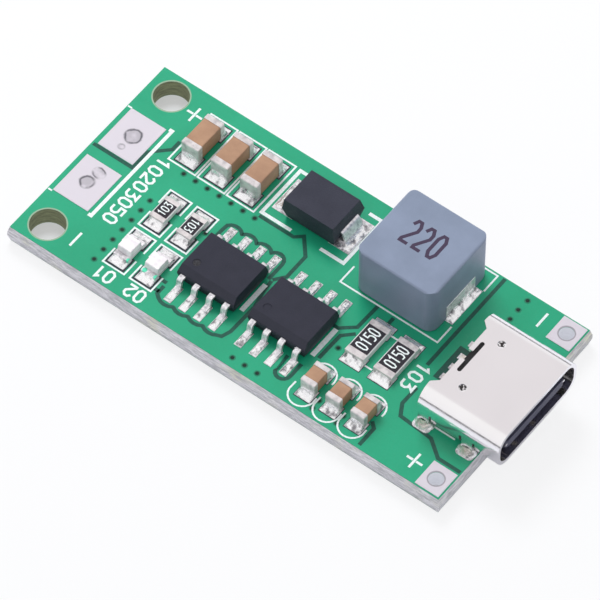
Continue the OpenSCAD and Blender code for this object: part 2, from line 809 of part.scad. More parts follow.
module shell_legs() {
    for (s = [-1, 1])
        for (x = leg_xs)
            translate([x, s * leg_y, 0]) leg(leg_drop);
}

module socket_shell() {
    color("gainsboro") in_socket() {
        difference() {
            along(0, socket_l) shell_section(0);
            along(-1, socket_l + 2) shell_section(socket_wall);
            rear_cut();
            spring_slot();
            translate([-1, -base_gap, -1]) cube([block_end + 1, 2 * base_gap, socket_wall + 1]);
            for (s = [-1, 1])
                translate([dimple_x, s * dimple_pitch / 2, socket_h - dimple_depth])
                    cylinder(d1 = dimple_d * 0.5, d2 = dimple_d, h = dimple_depth + 0.01, $fn = 24);
            for (s = [-1, 1])
                for (x = leg_xs)
                    translate([x, s * (leg_y + 0.1), 0]) leg_window();
        }
        shell_legs();
    }
}

module contact_set() {
    for (i = [0 : len(contact_offsets) - 1]) {
        z = socket_mid_z + contact_rows[i] * (tongue_t / 2 - contact_t / 2);
        translate([0, contact_offsets[i], 0]) across(contact_w) polygon(strip(concat(
            [[tongue_tip - 0.35, z]],
            arc([contact_drop_x + bend_r, z - bend_r], bend_r, 90, 180, arc_steps),
            arc([contact_drop_x - bend_r, tail_z + bend_r], bend_r, 0, -90, arc_steps),
            [[-tail_l, tail_z]]
        ), contact_t));
    }
}

module mid_plate() {
    cover = 0.3;
    web = 0.7;
    rail = 0.75;
    tip = 0.03;
    translate([block_x + cover, -tongue_w / 2, socket_mid_z - mid_plate_t / 2]) difference() {
        cube([tongue_tip - block_x - cover - tip, tongue_w, mid_plate_t]);
        translate([web, rail, -through]) cube([socket_l, tongue_w - 2 * rail, mid_plate_t + 2 * through]);
    }
}

module socket_moulding() {
    color("dimgray") in_socket() difference() {
        union() {
            along(block_x, block_l) shell_section(socket_wall);
            along(block_x, block_l + collar_l) translate([0, socket_mid_z])
                polygon(rounded(collar_w, collar_t, collar_rim, arc_steps));
            translate([block_x, 0, socket_mid_z - tongue_t / 2]) linear_extrude(tongue_t)
                translate([(tongue_tip - block_x) / 2, 0])
                    polygon(rounded(tongue_tip - block_x, tongue_w, tongue_corner, arc_steps));
            translate([block_x, -base_gap, 0]) cube([block_l, 2 * base_gap, foot_t]);
        }
        contact_set();
        mid_plate();
    }
}

module socket_contacts() color("silver") in_socket() contact_set();
module socket_mid_plate() color("silver") in_socket() mid_plate();

// Solder

lead_solder_climb = lead_t * 0.9;

module end_fillets(l, w, h, z) {
    for (s = [0, 180])
        rotate(s) translate([l / 2, 0, z]) fillet(w, land_reach * 0.85, h * solder_climb);
}

module chip_fillets() {
    for (s = chip_rows)
        for (i = [0 : chip_leads_per_row - 1])
            translate([(i - (chip_leads_per_row - 1) / 2) * lead_pitch, 0, seat])
                rotate(s * 90) translate([lead_span / 2, 0, 0])
                    fillet(lead_w, chip_land_reach * 0.85, lead_solder_climb);
}

module chip_solder() {
    color("lightgray") {
        in_layout(charger_chip_x, -chip_offset) chip_fillets();
        in_layout(power_chip_x, -chip_offset) chip_fillets();
    }
}

module diode_solder() {
    color("lightgray") in_layout(diode_x, diode_offset)
        end_fillets(diode_span, diode_tab_w, diode_tab_z * 0.6, seat);
}

module inductor_solder() {
    color("lightgray") in_layout(inductor_x, inductor_offset)
        end_fillets(inductor_l + 0.06, inductor_tab_w - 0.2, inductor_tab_h, seat);
}

module capacitor_solder() {
    color("lightgray") {
        for (i = [1 : 3])
            at_large_cap(i) end_fillets(large_cap_l, large_cap_w - 2 * large_cap_rounding, large_cap_h, 0);
        for (i = [1 : 3])
            at_small_cap(i) end_fillets(small_cap_l, small_cap_w - 2 * small_cap_rounding, small_cap_h, 0);
    }
}

module resistor_solder() {
    color("lightgray") {
        for (i = [1 : 2])
            at_small_res(i) end_fillets(small_res_l, small_res_w - 0.06, small_res_h, 0);
        for (i = [1 : 2])
            at_sense_res(i) end_fillets(sense_res_l, sense_res_w - 0.06, sense_res_h, 0);
    }
}

module status_light_solder() {
    color("lightgray")
        for (i = [1 : 2])
            at_led(i) end_fillets(led_l, led_w - 0.06, led_base_t, 0);
}

// Solder that fills each leg's plated slot and stands as a low cone round the leg
module socket_solder() {
    cone_w = 0.3;
    color("lightgray") at_legs() difference() {
        union() {
            translate([0, 0, -board_t]) linear_extrude(board_t + land_t)
                polygon(rounded(leg_w + 2 * leg_fit, socket_wall + 2 * leg_fit, leg_slot_corner, arc_steps));
            translate([0, 0, land_t]) intersection() {
                across(socket_wall + 2 * cone_w) polygon([
                    [-leg_w / 2 - cone_w, 0], [leg_w / 2 + cone_w, 0],
                    [leg_w / 2 + 0.04, 0.45], [-leg_w / 2 - 0.04, 0.45]
                ]);
                along(-leg_w, 2 * leg_w) polygon([
                    [-socket_wall / 2 - cone_w, 0], [socket_wall / 2 + cone_w, 0],
                    [socket_wall / 2 + 0.04, 0.45], [-socket_wall / 2 - 0.04, 0.45]
                ]);
            }
        }
        leg(leg_drop);
    }
}

circuit_board();
battery_pads();
input_pads();
component_lands();
charger_chip_body();
charger_chip_leads();
power_chip_body();
power_chip_leads();
diode_body();
diode_tabs();
inductor_core();
inductor_terminals();
large_capacitor_body(1);  // large_capacitor_1_body
large_capacitor_ends(1);  // large_capacitor_1_ends
large_capacitor_body(2);  // large_capacitor_2_body
large_capacitor_ends(2);  // large_capacitor_2_ends
large_capacitor_body(3);  // large_capacitor_3_body
large_capacitor_ends(3);  // large_capacitor_3_ends
small_capacitor_body(1);  // small_capacitor_1_body
small_capacitor_ends(1);  // small_capacitor_1_ends
small_capacitor_body(2);  // small_capacitor_2_body
small_capacitor_ends(2);  // small_capacitor_2_ends
small_capacitor_body(3);  // small_capacitor_3_body
small_capacitor_ends(3);  // small_capacitor_3_ends
small_resistor_body(1);  // small_resistor_1_body
small_resistor_coat(1);  // small_resistor_1_coat
small_resistor_ends(1);  // small_resistor_1_ends
small_resistor_body(2);  // small_resistor_2_body
small_resistor_coat(2);  // small_resistor_2_coat
small_resistor_ends(2);  // small_resistor_2_ends
sense_resistor_body(1);  // sense_resistor_1_body
sense_resistor_coat(1);  // sense_resistor_1_coat
sense_resistor_ends(1);  // sense_resistor_1_ends
sense_resistor_body(2);  // sense_resistor_2_body
sense_resistor_coat(2);  // sense_resistor_2_coat
sense_resistor_ends(2);  // sense_resistor_2_ends
status_light_base(1);  // status_light_1_base
status_light_lens(1);  // status_light_1_lens
status_light_ends(1);  // status_light_1_ends
status_light_base(2);  // status_light_2_base
status_light_lens(2);  // status_light_2_lens
status_light_ends(2);  // status_light_2_ends
socket_shell();
socket_moulding();
socket_contacts();
socket_mid_plate();
chip_solder();
diode_solder();
inductor_solder();
capacitor_solder();
resistor_solder();
status_light_solder();
socket_solder();
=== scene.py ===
import math
import bpy
import bmesh
from mathutils import Matrix, Vector


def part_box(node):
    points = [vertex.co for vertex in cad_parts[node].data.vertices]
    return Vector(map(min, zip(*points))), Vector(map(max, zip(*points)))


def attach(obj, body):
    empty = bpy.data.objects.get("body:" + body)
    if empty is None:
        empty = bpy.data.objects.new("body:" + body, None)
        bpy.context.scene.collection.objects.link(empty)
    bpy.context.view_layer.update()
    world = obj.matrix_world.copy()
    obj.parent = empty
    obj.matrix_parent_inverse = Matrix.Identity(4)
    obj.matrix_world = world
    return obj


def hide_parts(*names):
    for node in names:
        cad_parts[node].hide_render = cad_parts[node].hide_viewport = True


# The charger module stands as it was packed, on its board's lower face. It is dressed in the
# order in which the real module is made: board, print, lands, parts, socket and, last, solder.
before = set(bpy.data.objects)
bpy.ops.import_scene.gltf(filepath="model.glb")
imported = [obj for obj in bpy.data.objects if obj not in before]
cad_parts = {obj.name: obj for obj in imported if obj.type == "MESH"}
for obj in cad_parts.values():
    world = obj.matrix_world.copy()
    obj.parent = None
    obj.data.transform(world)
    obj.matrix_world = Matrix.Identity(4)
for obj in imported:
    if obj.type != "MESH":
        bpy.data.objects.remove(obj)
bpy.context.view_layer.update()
MM = 0.001
SCORE_RIDGE = 0.15
board_low, board_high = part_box("circuit_board")


def on_board(x, y, z=0.0):
    """A point x mm from the battery end, y mm from the near edge, z mm above the board."""
    return board_low * Vector((1, 1, 0)) + board_high * Vector((0, 0, 1)) + Vector(
        (x + SCORE_RIDGE, y + SCORE_RIDGE, z)) * MM


# Camera: a long lens at the photo's angle, looking down along the board from the socket's side.
# Angles, distance and lens are those at which the module's edges lie as in the photo.
CAMERA_AZIMUTH, CAMERA_ELEVATION, CAMERA_ROLL = 37.15, 55.28, 0.27
CAMERA_DISTANCE = 426.6
CAMERA_LENS, SENSOR_WIDTH = 376.5, 36.0
CAMERA_AIM = (19.5, 7.22)
turn = math.radians(CAMERA_AZIMUTH)
rise = math.radians(CAMERA_ELEVATION)
back = Vector((math.sin(turn) * math.cos(rise), -math.cos(turn) * math.cos(rise), math.sin(rise)))
camera = bpy.data.objects.new("camera", bpy.data.cameras.new("camera"))
camera.data.lens = CAMERA_LENS
camera.data.sensor_width = SENSOR_WIDTH
camera.data.clip_start = 10 * MM
camera.matrix_world = (
    Matrix.Translation(on_board(*CAMERA_AIM) + back * CAMERA_DISTANCE * MM)
    @ back.to_track_quat("Z", "Y").to_matrix().to_4x4()
    @ Matrix.Rotation(math.radians(CAMERA_ROLL), 4, "Z")
)
bpy.context.collection.objects.link(camera)
bpy.context.scene.camera = camera


# Studio: a light tent over a white table. The tent is a little greyer on the far side, which the
# flat metal mirrors, and darkest in a thin line where it meets the table.
class Wire:
    """A socket of a material's nodes: sums and products of wires add Math nodes."""

    MIX_FACTOR, MIX_LOW, MIX_HIGH, MIX_RESULT = 0, 6, 7, 2

    def __init__(self, tree, socket=None):
        self.tree = tree
        self.socket = socket

    def node(self, kind, inputs=(), settings=(), output=0, stops=()):
        """A new node: its settings and a ramp's stops are set first, then its sockets."""
        made = self.tree.nodes.new("ShaderNode" + kind)
        for name, value in dict(settings).items():
            setattr(made, name, value)
        if stops:
            ramp = made.color_ramp
            while len(ramp.elements) < len(stops):
                ramp.elements.new(0.5)
            for element, (place, colour) in zip(ramp.elements, stops):
                element.position = place
                element.color = colour
        for name, value in dict(inputs).items():
            if isinstance(value, Wire):
                self.tree.links.new(value.socket, made.inputs[name])
            else:
                made.inputs[name].default_value = value
        return Wire(self.tree, made.outputs[output] if made.outputs else None)

    def maths(self, operation, *values):
        values = values or (self,)
        return self.node("Math", enumerate(values), {"operation": operation})

    def __add__(self, other):
        return self.maths("ADD", self, other)

    def __sub__(self, other):
        return self.maths("SUBTRACT", self, other)

    def __rsub__(self, other):
        return self.maths("SUBTRACT", other, self)

    def __mul__(self, other):
        return self.maths("MULTIPLY", self, other)

    __radd__ = __add__
    __rmul__ = __mul__

    def above(self, edge, soft):
        """0 below the edge and 1 above it, with a soft change between."""
        settings = {"interpolation_type": "SMOOTHSTEP"}
        span = {"Value": self, "From Min": edge - soft, "From Max": edge + soft}
        return self.node("MapRange", span, settings)

    def mix(self, low, high):
        """Colour low where this wire is 0 and colour high where it is 1."""
        inputs = {self.MIX_FACTOR: self, self.MIX_LOW: low, self.MIX_HIGH: high}
        return self.node("Mix", inputs, {"data_type": "RGBA"}, self.MIX_RESULT)


def srgb(red, green, blue):
    """A colour as it is seen, 0 to 255, in the renderer's linear numbers."""
    def linear(level):
        level = level / 255.0
        return level / 12.92 if level <= 0.04045 else ((level + 0.055) / 1.055) ** 2.4
    return (linear(red), linear(green), linear(blue), 1.0)


def new_tree(owner):
    owner.use_nodes = True
    owner.node_tree.nodes.clear()
    return Wire(owner.node_tree)


def new_material(name):
    made = bpy.data.materials.new(name)
    return made, new_tree(made)


def new_object(name, bm, material):
    """A mesh object made from bm, in world places."""
    mesh = bpy.data.meshes.new(name)
    bm.to_mesh(mesh)
    bm.free()
    mesh.materials.append(material)
    made = bpy.data.objects.new(name, mesh)
    bpy.context.collection.objects.link(made)
    return made


WHITE = (1.0, 1.0, 1.0, 1.0)
TABLE_REACH, TABLE_GAP = 1500.0, 0.03
TABLE_GLOW, TABLE_GLOW_UNDER_BOARD = 0.8, 0.35
SHADE_INSET, SHADE_SOFT = 0.3, 0.1
table_paper, wire = new_material("white_table")
lit = wire.node("BsdfDiffuse", {"Color": srgb(232, 234, 240)})
plain = wire.node("Emission", {"Color": WHITE, "Strength": 1.0})
spot = wire.node("TexCoord", output="Object")
middle, half = (board_low + board_high) / 2, (board_high - board_low) / 2
beyond = []
for axis in (0, 1):
    offset = wire.node("SeparateXYZ", {0: spot}, output=axis) - middle[axis]
    beyond.append(offset.maths("ABSOLUTE") - (half[axis] - SHADE_INSET * MM))
open_table = wire.maths("MAXIMUM", *beyond).above(0.0, SHADE_SOFT * MM)
from_camera = wire.node("LightPath", output="Is Camera Ray")
glow = open_table * (TABLE_GLOW - TABLE_GLOW_UNDER_BOARD) + TABLE_GLOW_UNDER_BOARD
sheet = wire.node("MixShader", {0: from_camera * glow, 1: lit, 2: plain})
under_side = wire.node("NewGeometry", output="Backfacing")
gone = wire.maths("MAXIMUM", under_side, (1.0 - open_table) * (1.0 - from_camera))
surface = wire.node("MixShader", {0: gone, 1: sheet, 2: wire.node("BsdfTransparent")})
wire.node("OutputMaterial", {"Surface": surface})
bm = bmesh.new()
table_place = Matrix.Translation((0, 0, -TABLE_GAP * MM))
bmesh.ops.create_grid(bm, x_segments=1, y_segments=1, size=TABLE_REACH * MM, matrix=table_place)
new_object("table", bm, table_paper)

FAR_SIDE, FAR_SIDE_EDGE, FAR_SIDE_SOFT = (-0.344, 0.454, 0.822), 0.9, 0.08
TENT_LIGHT, TENT_LIGHT_ON_MATT = 0.95, 0.71
tent = bpy.data.worlds.new("tent")
bpy.context.scene.world = tent
wire = new_tree(tent)
direction = wire.node("TexCoord", output="Generated")
upward = wire.node("SeparateXYZ", {0: direction}, output="Z")
cloth = wire.node("ValToRGB", {0: upward * 0.5 + 0.5}, stops=(
    (0.0, srgb(215, 215, 218)), (0.52, srgb(215, 215, 218)), (0.54, srgb(70, 70, 76)),
    (0.57, srgb(80, 80, 88)), (0.62, srgb(250, 250, 252)), (1.0, srgb(255, 255, 255)),
))
dot = {"operation": "DOT_PRODUCT"}
away = wire.node("VectorMath", {0: direction, 1: FAR_SIDE}, dot, output="Value")
sky = away.above(FAR_SIDE_EDGE, FAR_SIDE_SOFT).mix(cloth, srgb(236, 233, 235))
on_matt = wire.node("LightPath", output="Is Diffuse Ray")
fill = on_matt * (TENT_LIGHT_ON_MATT - TENT_LIGHT) + TENT_LIGHT
room = wire.node("Background", {"Color": sky, "Strength": fill})
paper = wire.node("Background", {"Color": WHITE, "Strength": 1.0})
seen = wire.node("LightPath", output="Is Camera Ray")
wire.node("OutputWorld", {"Surface": wire.node("MixShader", {0: seen, 1: room, 2: paper})})


def softbox(name, place, size, power):
    """A square lamp that shines on the module and isn't mirrored in it."""
    lamp = bpy.data.lights.new(name, "AREA")
    lamp.size = size * MM
    lamp.energy = power
    box = bpy.data.objects.new(name, lamp)
    stand = Vector(place) * MM
    facing = stand.to_track_quat("Z", "Y").to_matrix().to_4x4()
    box.matrix_world = Matrix.Translation(stand) @ facing
    box.visible_glossy = False
    bpy.context.collection.objects.link(box)


softbox("top_softbox", place=(-130, 110, 220), size=110, power=0.46)
softbox("near_softbox", place=(90, -220, 200), size=160, power=0.05)
bpy.context.scene.view_settings.view_transform = "Standard"


# Circuit board: glass-epoxy laminate scored and snapped from a panel, green mask over the copper
# on both faces. Its rough edges and the screw holes show the pale cut glass.
def position(wire, axis):
    """One coordinate of the surface, in millimetres."""
    spot = wire.node("TexCoord", output="Object")
    return wire.node("SeparateXYZ", {0: spot}, output=axis) * (1 / MM)


def noise(wire, scale, detail=3.0, stretch=(1.0, 1.0, 1.0), rough=0.5):
    """Fractal noise with about scale features to a millimetre."""
    spot = wire.node("TexCoord", output="Object")
    grown = wire.node("Mapping", {"Vector": spot, "Scale": [s / MM for s in stretch]})
    inputs = {"Vector": grown, "Scale": scale, "Detail": detail, "Roughness": rough}
    return wire.node("TexNoise", inputs)


def finish(wire, height, depth, **inputs):
    """Closes a material with the Principled shader, with a bump of the given depth in mm."""
    values = {name.replace("_", " "): value for name, value in inputs.items()}
    bump = {"Height": height, "Distance": depth * MM, "Strength": 1.0}
    values["Normal"] = wire.node("Bump", bump)
    wire.node("OutputMaterial", {"Surface": wire.node("BsdfPrincipled", values)})


def dress(material, *nodes):
    """Gives CAD nodes a material; their meshes stay as they are."""
    for name in nodes:
        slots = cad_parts[name].data.materials
        slots.clear()
        slots.append(material)


def distance(wire, x, y):
    """Distance in mm of the surface from an upright line at (x, y) on the board."""
    centre = on_board(x, y)
    dx = position(wire, "X") - centre[0] / MM
    dy = position(wire, "Y") - centre[1] / MM
    return wire.maths("SQRT", dx * dx + dy * dy)


def near_any(wire, places, radius, soft):
    """1 within the radius of any of the places on the board, 0 away from them."""
    total = 0.0
    for x, y in places:
        total = total + (1.0 - distance(wire, x, y).above(radius, soft))
    return total


SCREW_HOLES, SCREW_HOLE_R = ((1.94, 1.72), (1.94, 15.48)), 1.3
WIRE_HOLES, WIRE_HOLE_R = ((35.525, 1.2), (35.525, 16.0)), 0.55
HOLE_SOFT = 0.03
MASK_T, MASK_SOFT = 0.04, 0.012
board_finish, wire = new_material("mask_and_laminate")
z = position(wire, "Z")
top_face = z.above(board_high[2] / MM - MASK_T, MASK_SOFT)
faces = top_face + (1.0 - z.above(MASK_T, MASK_SOFT))
clouds = noise(wire, 0.22, 4.0)
grain = noise(wire, 9.0)
tone = clouds.above(0.5, 0.3) * 0.75 + grain.above(0.5, 0.3) * 0.25
green = tone.mix(srgb(18, 152, 112), srgb(28, 164, 124))
streaks = noise(wire, 1.1, 6.0, stretch=(1.0, 1.0, 6.0), rough=0.72)
tint = noise(wire, 0.35)
pale = tint.above(0.62, 0.1).mix(srgb(236, 234, 238), srgb(232, 232, 206))
cut = streaks.above(0.5, 0.14).mix(srgb(186, 186, 190), pale)
walls = near_any(wire, SCREW_HOLES, SCREW_HOLE_R + 0.08, HOLE_SOFT)
cut = walls.mix(cut, streaks.above(0.5, 0.2).mix(srgb(112, 116, 92), srgb(158, 166, 128)))
plated = near_any(wire, WIRE_HOLES, WIRE_HOLE_R + 0.07, HOLE_SOFT)
cut = plated.mix(cut, srgb(188, 188, 194))
rims = near_any(wire, SCREW_HOLES, SCREW_HOLE_R + 0.1, HOLE_SOFT)
bare = rims.mix(green, srgb(150, 176, 150))
weave = noise(wire, 4.0, 2.0)
finish(
    wire,
    height=weave * faces * 0.3 + streaks * (1.0 - faces),
    depth=0.03,
    Base_Color=faces.mix(cut, bare),
    Roughness=faces * -0.4 + 0.72,
    # Painted light: the plated walls of the wire holes glow, in place of the light that falls into
    # the holes.
    Emission_Color=plated.mix(srgb(0, 0, 0), streaks.mix(srgb(110, 112, 116), srgb(158, 160, 166))),
    Emission_Strength=1.0,
)
dress(board_finish, "circuit_board")


# Copper gaps: where the copper is etched away the mask lies lower and looks darker, so the gaps
# show as dark lines in the mask. Bare laminate shows round the lands, where the mask stops short.
def straight_lines(name, material, width, height, paths):
    """Lines as edge chains, raised and thickened; a closed one ends at its first point."""
    bm = bmesh.new()
    for points in paths:
        closed = points[0] == points[-1]
        chain = [bm.verts.new(on_board(*point)) for point in (points[:-1] if closed else points)]
        links = list(zip(chain, chain[1:])) + ([(chain[-1], chain[0])] if closed else [])
        for pair in links:
            bm.edges.new(pair)
    raised = bmesh.ops.extrude_edge_only(bm, edges=bm.edges[:])
    tops = [item for item in raised["geom"] if isinstance(item, bmesh.types.BMVert)]
    bmesh.ops.translate(bm, verts=tops, vec=(0, 0, height * MM))
    line = new_object(name, bm, material)
    wall = line.modifiers.new("width", "SOLIDIFY")
    wall.thickness = width * MM
    wall.offset = 0.0
    wall.use_even_offset = True
    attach(line, "root")


def bow(x, y, radius, start, end, steps):
    """Points of an arc, in degrees, on the board."""
    angles = [math.radians(start + (end - start) * step / steps) for step in range(steps + 1)]
    return [(x + radius * math.cos(a), y + radius * math.sin(a)) for a in angles]


gap_finish, wire = new_material("mask_over_gaps")
grain = noise(wire, 5.0)
finish(
    wire,
    height=grain,
    depth=0.01,
    Base_Color=grain.above(0.5, 0.3).mix(srgb(12, 70, 58), srgb(22, 88, 74)),
    Roughness=grain * 0.1 + 0.3,
)
CHIP_CENTRES = ((14.28, 5.39), (20.34, 5.39))
LEAD_PITCH, LEAD_STEPS = 1.27, (-1.5, -0.5, 0.5, 1.5)
charger_leads_x = [CHIP_CENTRES[0][0] + LEAD_PITCH * step for step in LEAD_STEPS]
far_scallops = [(11.66, 7.0), (11.72, 8.7)]
for lead in charger_leads_x[:3]:
    far_scallops += bow(lead + 0.03, 8.65, 0.8, 142, 38, 5)
far_scallops += bow(16.13, 8.83, 0.62, 135, 0, 6) + [(16.75, 7.3)]
near_scallops = [(17.0, 7.3), (17.1, 6.2), (17.4, 4.9), (17.35, 2.3), (17.1, 1.6)]
for lead in reversed(charger_leads_x):
    near_scallops += bow(lead, 2.35, 1.05, 306, 234, 4)
near_scallops += [(11.45, 1.75), (11.45, 2.5)]
straight_lines("copper_gaps", gap_finish, width=0.29, height=0.004, paths=[
    [(0.15, 9.0), (3.6, 9.0), (3.6, 10.7), (4.82, 11.9), (4.82, 12.75)],
    [(13.0, 11.12), (15.95, 11.12), (16.5, 11.6), (17.62, 10.3), (17.62, 8.2), (17.0, 7.4)],
    far_scallops,
    near_scallops,
    [(10.9, 2.82), (11.45, 2.82)],
    [(10.95, 1.95), (11.45, 1.95)],
    [(21.62, 3.1), (21.62, 1.85)] + bow(22.2, 1.85, 0.58, 180, 360, 8) + [(22.78, 3.1)],
    [(24.02, 10.1), (23.95, 7.8), (22.95, 6.95), (22.3, 6.95)],
    [(24.2, 7.3), (23.45, 6.55), (23.4, 4.2)],
    [(29.55, 17.1), (29.55, 8.2)],
    [(30.1, 6.3), (30.08, 4.7), (30.6, 3.8), (33.3, 3.6), (34.63, 2.6), (36.5, 2.6)],
    [(29.35, 2.3), (29.8, 1.9), (29.8, 0.25)],
    [(25.45, 9.9), (25.45, 9.3)],
])


PLATE_T = 0.003


def plates(name, material, boxes):
    """Thin plates on the board, each given by its low and its high corner."""
    bm = bmesh.new()
    for left, low, right, high in boxes:
        size = Matrix.Diagonal(((right - left) * MM, (high - low) * MM, PLATE_T * MM, 1.0))
        centre = Matrix.Translation(on_board((left + right) / 2, (low + high) / 2, PLATE_T / 2))
        bmesh.ops.create_cube(bm, size=1.0, matrix=centre @ size)
    made = new_object(name, bm, material)
    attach(made, "root")


def end_lands(x, y, width, length, inner, rim):
    """The two lands under a part that lies along Y, each grown by a rim."""
    half = width / 2 + rim
    return [
        (x - half, y - length / 2 - rim, x + half, y - inner / 2 + rim),
        (x - half, y + inner / 2 - rim, x + half, y + length / 2 + rim),
    ]


bare_finish, wire = new_material("bare_laminate")
grain = noise(wire, 7.0, 4.0)
finish(
    wire,
    height=grain,
    depth=0.02,
    Base_Color=grain.above(0.5, 0.25).mix(srgb(30, 38, 46), srgb(52, 62, 70)),
    Roughness=grain * 0.1 + 0.35,
)
LARGE_CAPACITORS = [(6.28 + 2.54 * step, 13.5) for step in range(3)]
SMALL_CAPACITORS = [(24.5 + 2.1 * step, 2.4) for step in range(3)]
SMALL_RESISTORS = [(7.78, 7.33), (10.1, 7.33)]
SENSE_RESISTORS = [(25.38, 7.1), (27.78, 7.1)]
STATUS_LIGHTS = [(7.75, 3.42), (10.1, 3.42)]
rim_boxes = []
for places, width, length, inner, rim in (
    (LARGE_CAPACITORS, 1.6, 4.25, 1.85, 0.1),
    (SMALL_CAPACITORS, 1.3, 3.1, 0.86, 0.06),
    (SMALL_RESISTORS, 1.32, 3.2, 1.04, 0.14),
    (SENSE_RESISTORS, 1.68, 4.35, 1.99, 0.05),
    (STATUS_LIGHTS, 1.35, 3.2, 1.12, 0.14),
):
    for x, y in places:
        rim_boxes += end_lands(x, y, width, length, inner, rim)
plates("land_rims", bare_finish, rim_boxes)
plates("tail_window", gap_finish, [(30.4, 7.7, 31.75, 10.85)])


# Through holes: drilled and plated, and tented by the mask, which sinks a little into each. They
# stand in two rows by the large capacitors and the resistors, and in small groups elsewhere.
VIA_PITCH, VIA_RADIUS, VIA_TOP_RADIUS, VIA_HEIGHT, VIA_MOUTH = 1.03, 0.25, 0.225, 0.005, 0.14
VIAS = [(6.72 + VIA_PITCH * step, 10.75) for step in range(7)]
VIAS += [(6.28, 7.55 - VIA_PITCH * step) for step in range(7)]
VIAS += [(11.0, 7.7), (18.75, 0.68), (19.79, 0.68), (20.86, 0.68), (23.95, 5.65)]
VIAS += [(25.52, 1.45), (25.52, 0.7), (27.55, 1.45), (27.55, 0.72)]
VIAS += [(31.82, 16.58), (31.76, 15.58), (31.77, 14.63)]
via_finish, wire = new_material("tented_hole")
# The mouth of each hole dips and is painted dark: painted shade in the dip.
sunk_and_shaded = near_any(wire, VIAS, VIA_MOUTH, 0.05)
finish(
    wire,
    height=noise(wire, 8.0) - sunk_and_shaded,
    depth=0.05,
    Base_Color=sunk_and_shaded.mix(srgb(24, 126, 94), srgb(4, 34, 26)),
    Roughness=sunk_and_shaded * 0.2 + 0.3,
)
bm = bmesh.new()
for x, y in VIAS:
    bmesh.ops.create_cone(
        bm, cap_ends=True, segments=20, radius1=VIA_RADIUS * MM, radius2=VIA_TOP_RADIUS * MM,
        depth=VIA_HEIGHT * MM, matrix=Matrix.Translation(on_board(x, y, VIA_HEIGHT / 2))
    )
vias = new_object("tented_holes", bm, via_finish)
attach(vias, "root")


# White print: epoxy ink screened on the mask, as frames that show where each part goes, and with
# plain figures and signs.
FIGURES = {
    "0": [[(0, 0.2), (0.3, 0), (0.7, 0), (1, 0.2), (1, 0.8), (0.7, 1), (0.3, 1), (0, 0.8), (0, 0.2)]],
    "1": [[(0.1, 0.8), (0.55, 1), (0.55, 0)]],
    "2": [[(0, 0.8), (0.3, 1), (0.7, 1), (1, 0.8), (1, 0.6), (0, 0.1), (0, 0), (1, 0)]],
    "3": [[(0, 1), (1, 1), (0.45, 0.6), (0.75, 0.6), (1, 0.4), (1, 0.16), (0.7, 0), (0, 0)]],
    "5": [[(1, 1), (0, 1), (0, 0.6), (0.7, 0.6), (1, 0.42), (1, 0.16), (0.7, 0), (0, 0)]],
    "+": [[(0.5, 0), (0.5, 0.4)], [(0.5, 0.6), (0.5, 1)], [(-0.15, 0.5), (1.15, 0.5)]],
    "-": [[(-0.15, 0.5), (1.15, 0.5)]],
}
TOWARDS_NEAR, TOWARDS_FAR, TOWARDS_BATTERY, TOWARDS_SOCKET = (0, -1), (0, 1), (-1, 0), (1, 0)


def box_path(left, right, low, high):
    return [(left, low), (right, low), (right, high), (left, high), (left, low)]


def notched_box(left, right, low, high, notch):
    """A frame round a part, open beside the part's middle."""
    middle = (low + high) / 2
    return [
        [(left, middle - notch), (left, low), (right, low), (right, middle - notch)],
        [(left, middle + notch), (left, high), (right, high), (right, middle + notch)],
    ]


def figures(text, centre, right, height, width, pitch, z=0.0):
    """Strokes of plain figures, read along the direction right."""
    up = (-right[1], right[0])
    strokes = []
    for index, letter in enumerate(text):
        shift = (index - (len(text) - 1) / 2) * pitch
        for points in FIGURES[letter]:
            moved = []
            for across, rise in points:
                a = shift + (across - 0.5) * width
                b = (rise - 0.5) * height
                moved.append((centre[0] + right[0] * a + up[0] * b,
                              centre[1] + right[1] * a + up[1] * b, z))
            strokes.append(moved)
    return strokes


ink, wire = new_material("white_print")
edge = noise(wire, 7.0)
finish(
    wire,
    height=edge,
    depth=0.01,
    Base_Color=edge.above(0.42, 0.2).mix(srgb(214, 232, 228), srgb(240, 246, 248)),
    Roughness=edge * 0.2 + 0.45,
)
PRINT_T = 0.014
straight_lines("print_heavy", ink, width=0.27, height=PRINT_T, paths=[
    [(3.6, 13.12), (3.85, 13.12), (3.85, 4.1), (3.6, 4.1)],
    [(13.9, 15.85), (12.95, 15.85), (12.95, 11.45), (15.5, 11.45)],
    [(18.0, 11.45), (20.0, 11.45), (20.0, 15.85), (18.9, 15.85)],
])
straight_lines("print_chip_ends", ink, width=0.37, height=PRINT_T, paths=[
    [(16.87, 4.1), (16.87, 6.8)],
    [(22.92, 4.1), (22.92, 6.8)],
])
fine = [
    [(20.75, 11.7), (20.75, 10.1), (29.0, 10.1), (29.0, 11.7)],
    [(20.75, 15.4), (20.75, 17.0), (29.0, 17.0), (29.0, 15.4)],
    [(26.2, 8.62), (26.95, 8.62)],
    [(26.25, 5.6), (26.85, 5.6)],
    [(32.93, 4.49), (34.64, 4.49)],
    [(0.06, 13.0), (0.4, 13.0)],
    [(0.06, 4.12), (0.4, 4.12)],
]
for left, right in ((5.08, 7.42), (7.62, 9.96), (10.16, 12.5)):
    fine.append(box_path(left, right, 11.12, 15.95))
for left, right in ((6.85, 8.7), (9.17, 11.0)):
    fine += notched_box(left, right, 5.52, 9.12, 0.45)
    fine += notched_box(left, right, 1.6, 5.12, 0.4)
for x in (24.3, 26.4, 28.5):
    fine.append(bow(x + 0.15, 3.2, 1.0, 150, -12, 10))
    fine.append([(x - 0.97, 1.75)] + bow(x, 1.2, 1.0, 190, 350, 10) + [(x + 0.97, 1.5)])
straight_lines("print_fine", ink, width=0.13, height=PRINT_T, paths=fine)
LABEL_HEIGHT, LABEL_WIDTH, LABEL_PITCH, SIGN_GROWTH = 0.95, 0.56, 0.84, 1.35
labels = []
